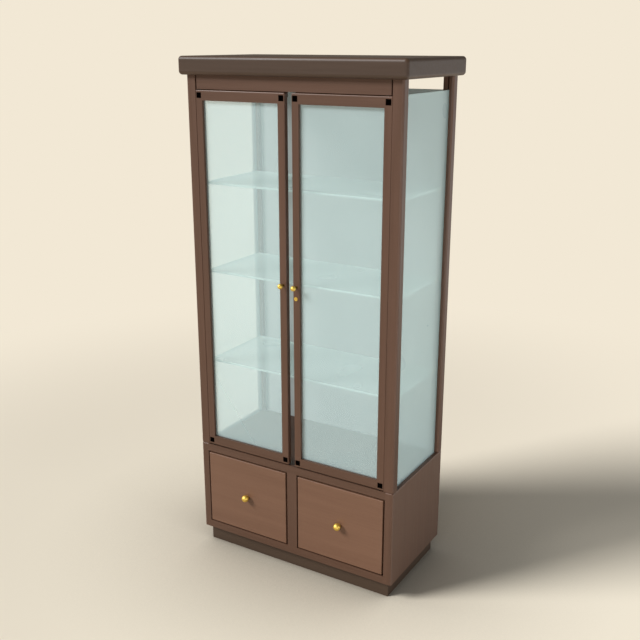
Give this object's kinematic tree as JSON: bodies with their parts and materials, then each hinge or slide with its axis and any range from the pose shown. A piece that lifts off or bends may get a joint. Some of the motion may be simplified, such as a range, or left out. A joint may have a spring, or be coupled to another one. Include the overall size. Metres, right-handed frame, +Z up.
{
  "type": "display cabinet",
  "caption": "Tall dark-wood display cabinet with framed glass doors, glass sides and shelves, pale back panel, drawers below with brass ball knobs",
  "frame": {"origin": "on the floor under the middle of the whole cabinet's box", "axes": "+Z up, -Y toward the viewer (door side), +X to the viewer's right"},
  "size_m": [0.84, 0.4485, 1.8],
  "materials": {
    "walnut": "satin oiled dark brown wood",
    "dark_walnut": "satin darker brown wood",
    "light_walnut": "satin lighter brown wood",
    "plain_inner_wood": "plain inner boards",
    "ebony": "polished black wood",
    "pane_glass": "pale blue-green float glass",
    "shelf_glass": "clear glass, polished edges",
    "pale_panel": "matte pale grey laminate",
    "polished_brass": "polished brass",
    "plated_steel": "plated steel",
    "blackened_steel": "blackened steel"
  },
  "bodies": {
    "carcass": {"plinth_front": "dark_walnut", "plinth_back": "dark_walnut", "plinth_left": "dark_walnut", "plinth_right": "dark_walnut", "base_bottom": "walnut", "base_side_left": "walnut", "base_side_right": "walnut", "base_back": "plain_inner_wood", "base_divider": "walnut", "deck": "walnut", "drawer_runners": "plain_inner_wood", "post_front_left": "walnut", "post_front_right": "walnut", "post_back_left": "walnut", "post_back_right": "walnut", "header_rail": "walnut", "top_slab": "dark_walnut", "side_pane_left": "pane_glass", "side_pane_right": "pane_glass", "back_panel": "pale_panel", "shelf_lower": "shelf_glass", "shelf_middle": "shelf_glass", "shelf_upper": "shelf_glass", "shelf_pins": "polished_brass", "pivot_bushes": "blackened_steel", "door_stops": "walnut"},
    "door_left": {"door_left_outer_stile": "walnut", "door_left_meeting_stile": "walnut", "door_left_top_rail": "walnut", "door_left_bottom_rail": "walnut", "door_left_glass": "pane_glass", "door_left_beads": "walnut", "door_left_plugs": "ebony", "door_left_knob": "polished_brass", "door_left_pivots": "blackened_steel"},
    "door_right": {"door_right_outer_stile": "walnut", "door_right_meeting_stile": "walnut", "door_right_top_rail": "walnut", "door_right_bottom_rail": "walnut", "door_right_glass": "pane_glass", "door_right_beads": "walnut", "door_right_plugs": "ebony", "door_right_knob": "polished_brass", "door_right_pivots": "blackened_steel", "lock_barrel": "polished_brass", "lock_nut": "plated_steel"},
    "lock": {"lock_plug": "polished_brass", "lock_cam": "plated_steel"},
    "drawer_left": {"drawer_left_front": "light_walnut", "drawer_left_outer_side": "plain_inner_wood", "drawer_left_inner_side": "plain_inner_wood", "drawer_left_back": "plain_inner_wood", "drawer_left_bottom": "plain_inner_wood", "drawer_left_knob": "polished_brass"},
    "drawer_right": {"drawer_right_front": "light_walnut", "drawer_right_outer_side": "plain_inner_wood", "drawer_right_inner_side": "plain_inner_wood", "drawer_right_back": "plain_inner_wood", "drawer_right_bottom": "plain_inner_wood", "drawer_right_knob": "polished_brass"}
  },
  "joints": [
    {"name": "door_left_hinge", "type": "hinge", "parent": "carcass", "child": "door_left", "pos_m": [-0.3452, -0.18975, 0.4135], "axis": [0, 0, -1], "range_deg": [0, 110]},
    {"name": "door_right_hinge", "type": "hinge", "parent": "carcass", "child": "door_right", "pos_m": [0.3452, -0.18975, 0.4135], "axis": [0, 0, 1], "range_deg": [0, 110]},
    {"name": "lock_turn", "type": "hinge", "parent": "door_right", "child": "lock", "pos_m": [0.025, -0.19575, 1.03], "axis": [0, 1, 0], "range_deg": [0, 90]},
    {"name": "drawer_left_slide", "type": "slide", "parent": "carcass", "child": "drawer_left", "axis": [0, -1, 0], "range_m": [0, 0.27]},
    {"name": "drawer_right_slide", "type": "slide", "parent": "carcass", "child": "drawer_right", "axis": [0, -1, 0], "range_m": [0, 0.27]}
  ]
}
